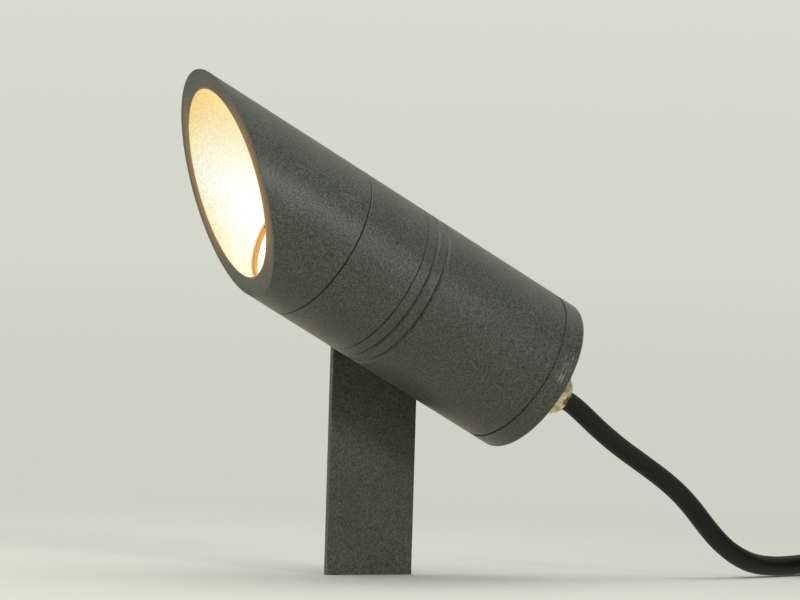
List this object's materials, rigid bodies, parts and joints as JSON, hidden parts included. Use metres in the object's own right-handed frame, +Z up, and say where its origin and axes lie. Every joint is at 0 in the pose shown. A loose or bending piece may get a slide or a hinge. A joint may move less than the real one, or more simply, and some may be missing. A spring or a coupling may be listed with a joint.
{
  "type": "garden spotlight",
  "caption": "Round tilting outdoor spotlight with a slanted glare hood, held by its side on a flat ground stake, with a gland, cord and plug.",
  "frame": {"origin": "ground line in the middle of the flat stake", "axes": "+Z up, the head points to -Y at rest, X is the head's tilt axis and the stake is on the head's -X side"},
  "size_m": [0.1216, 0.4173, 0.3732],
  "materials": {
    "powder_coated_aluminium": "matte",
    "powder_coated_steel": "matte",
    "stainless_steel": "satin",
    "nickel_plated_brass": "satin",
    "black_rubber": "matte",
    "white_silicone": "matte",
    "clear_glass": "gloss",
    "bright_aluminium": "satin",
    "heat_pad_grey": "matte",
    "white_ceramic": "matte",
    "phosphor_yellow": "satin",
    "white_plastic": "matte",
    "black_plastic": "matte",
    "wire_insulation": "satin",
    "cord_rubber": "matte",
    "plug_rubber": "matte",
    "plug_plastic": "satin",
    "plug_metal": "polished"
  },
  "bodies": {
    "stake": {"ground_stake": "powder_coated_steel", "supply_cord": "cord_rubber", "cord_coil": "cord_rubber", "coil_tie": "black_plastic", "plug_lead": "cord_rubber", "plug_body": "plug_rubber", "plug_insert": "plug_plastic", "plug_pins": "plug_metal", "plug_earth_contacts": "plug_metal"},
    "head": {"main_housing": "powder_coated_aluminium", "heat_sink": "powder_coated_aluminium", "rear_cap": "powder_coated_aluminium", "housing_o_ring": "black_rubber", "cap_o_ring": "black_rubber", "hood_o_ring": "black_rubber", "glass_rear_gasket": "white_silicone", "front_glass": "clear_glass", "glass_front_gasket": "white_silicone", "glass_ring": "powder_coated_aluminium", "reflector": "bright_aluminium", "heat_pad": "heat_pad_grey", "led_board": "white_ceramic", "led_emitter": "phosphor_yellow", "led_holder": "white_plastic", "holder_screws": "stainless_steel", "led_leads": "wire_insulation", "driver_tray": "bright_aluminium", "tray_screws": "stainless_steel", "led_driver": "black_plastic", "driver_strap": "stainless_steel", "terminal_block": "white_plastic", "block_screw": "nickel_plated_brass", "driver_leads": "wire_insulation", "mains_cores": "wire_insulation", "cap_screws": "stainless_steel", "gland_washer": "black_rubber", "gland_body": "nickel_plated_brass", "gland_insert": "black_rubber", "gland_dome_nut": "nickel_plated_brass", "cord_tail": "cord_rubber", "friction_washer": "black_plastic", "flat_washer": "stainless_steel", "spring_washer": "stainless_steel", "pivot_screw": "stainless_steel"},
    "hood": {"glare_hood": "powder_coated_aluminium", "hood_grub_screw": "stainless_steel"}
  },
  "joints": [
    {"name": "head_tilt", "type": "hinge", "parent": "stake", "child": "head", "pos_m": [0, 0, 0.115], "axis": [-1, 0, 0], "range_deg": [-58, 62], "deforming": ["supply_cord"]},
    {"name": "hood_turn", "type": "hinge", "parent": "head", "child": "hood", "pos_m": [0.036, -0.09271, 0.1643], "axis": [0, -0.8829, 0.4695], "continuous": true}
  ]
}
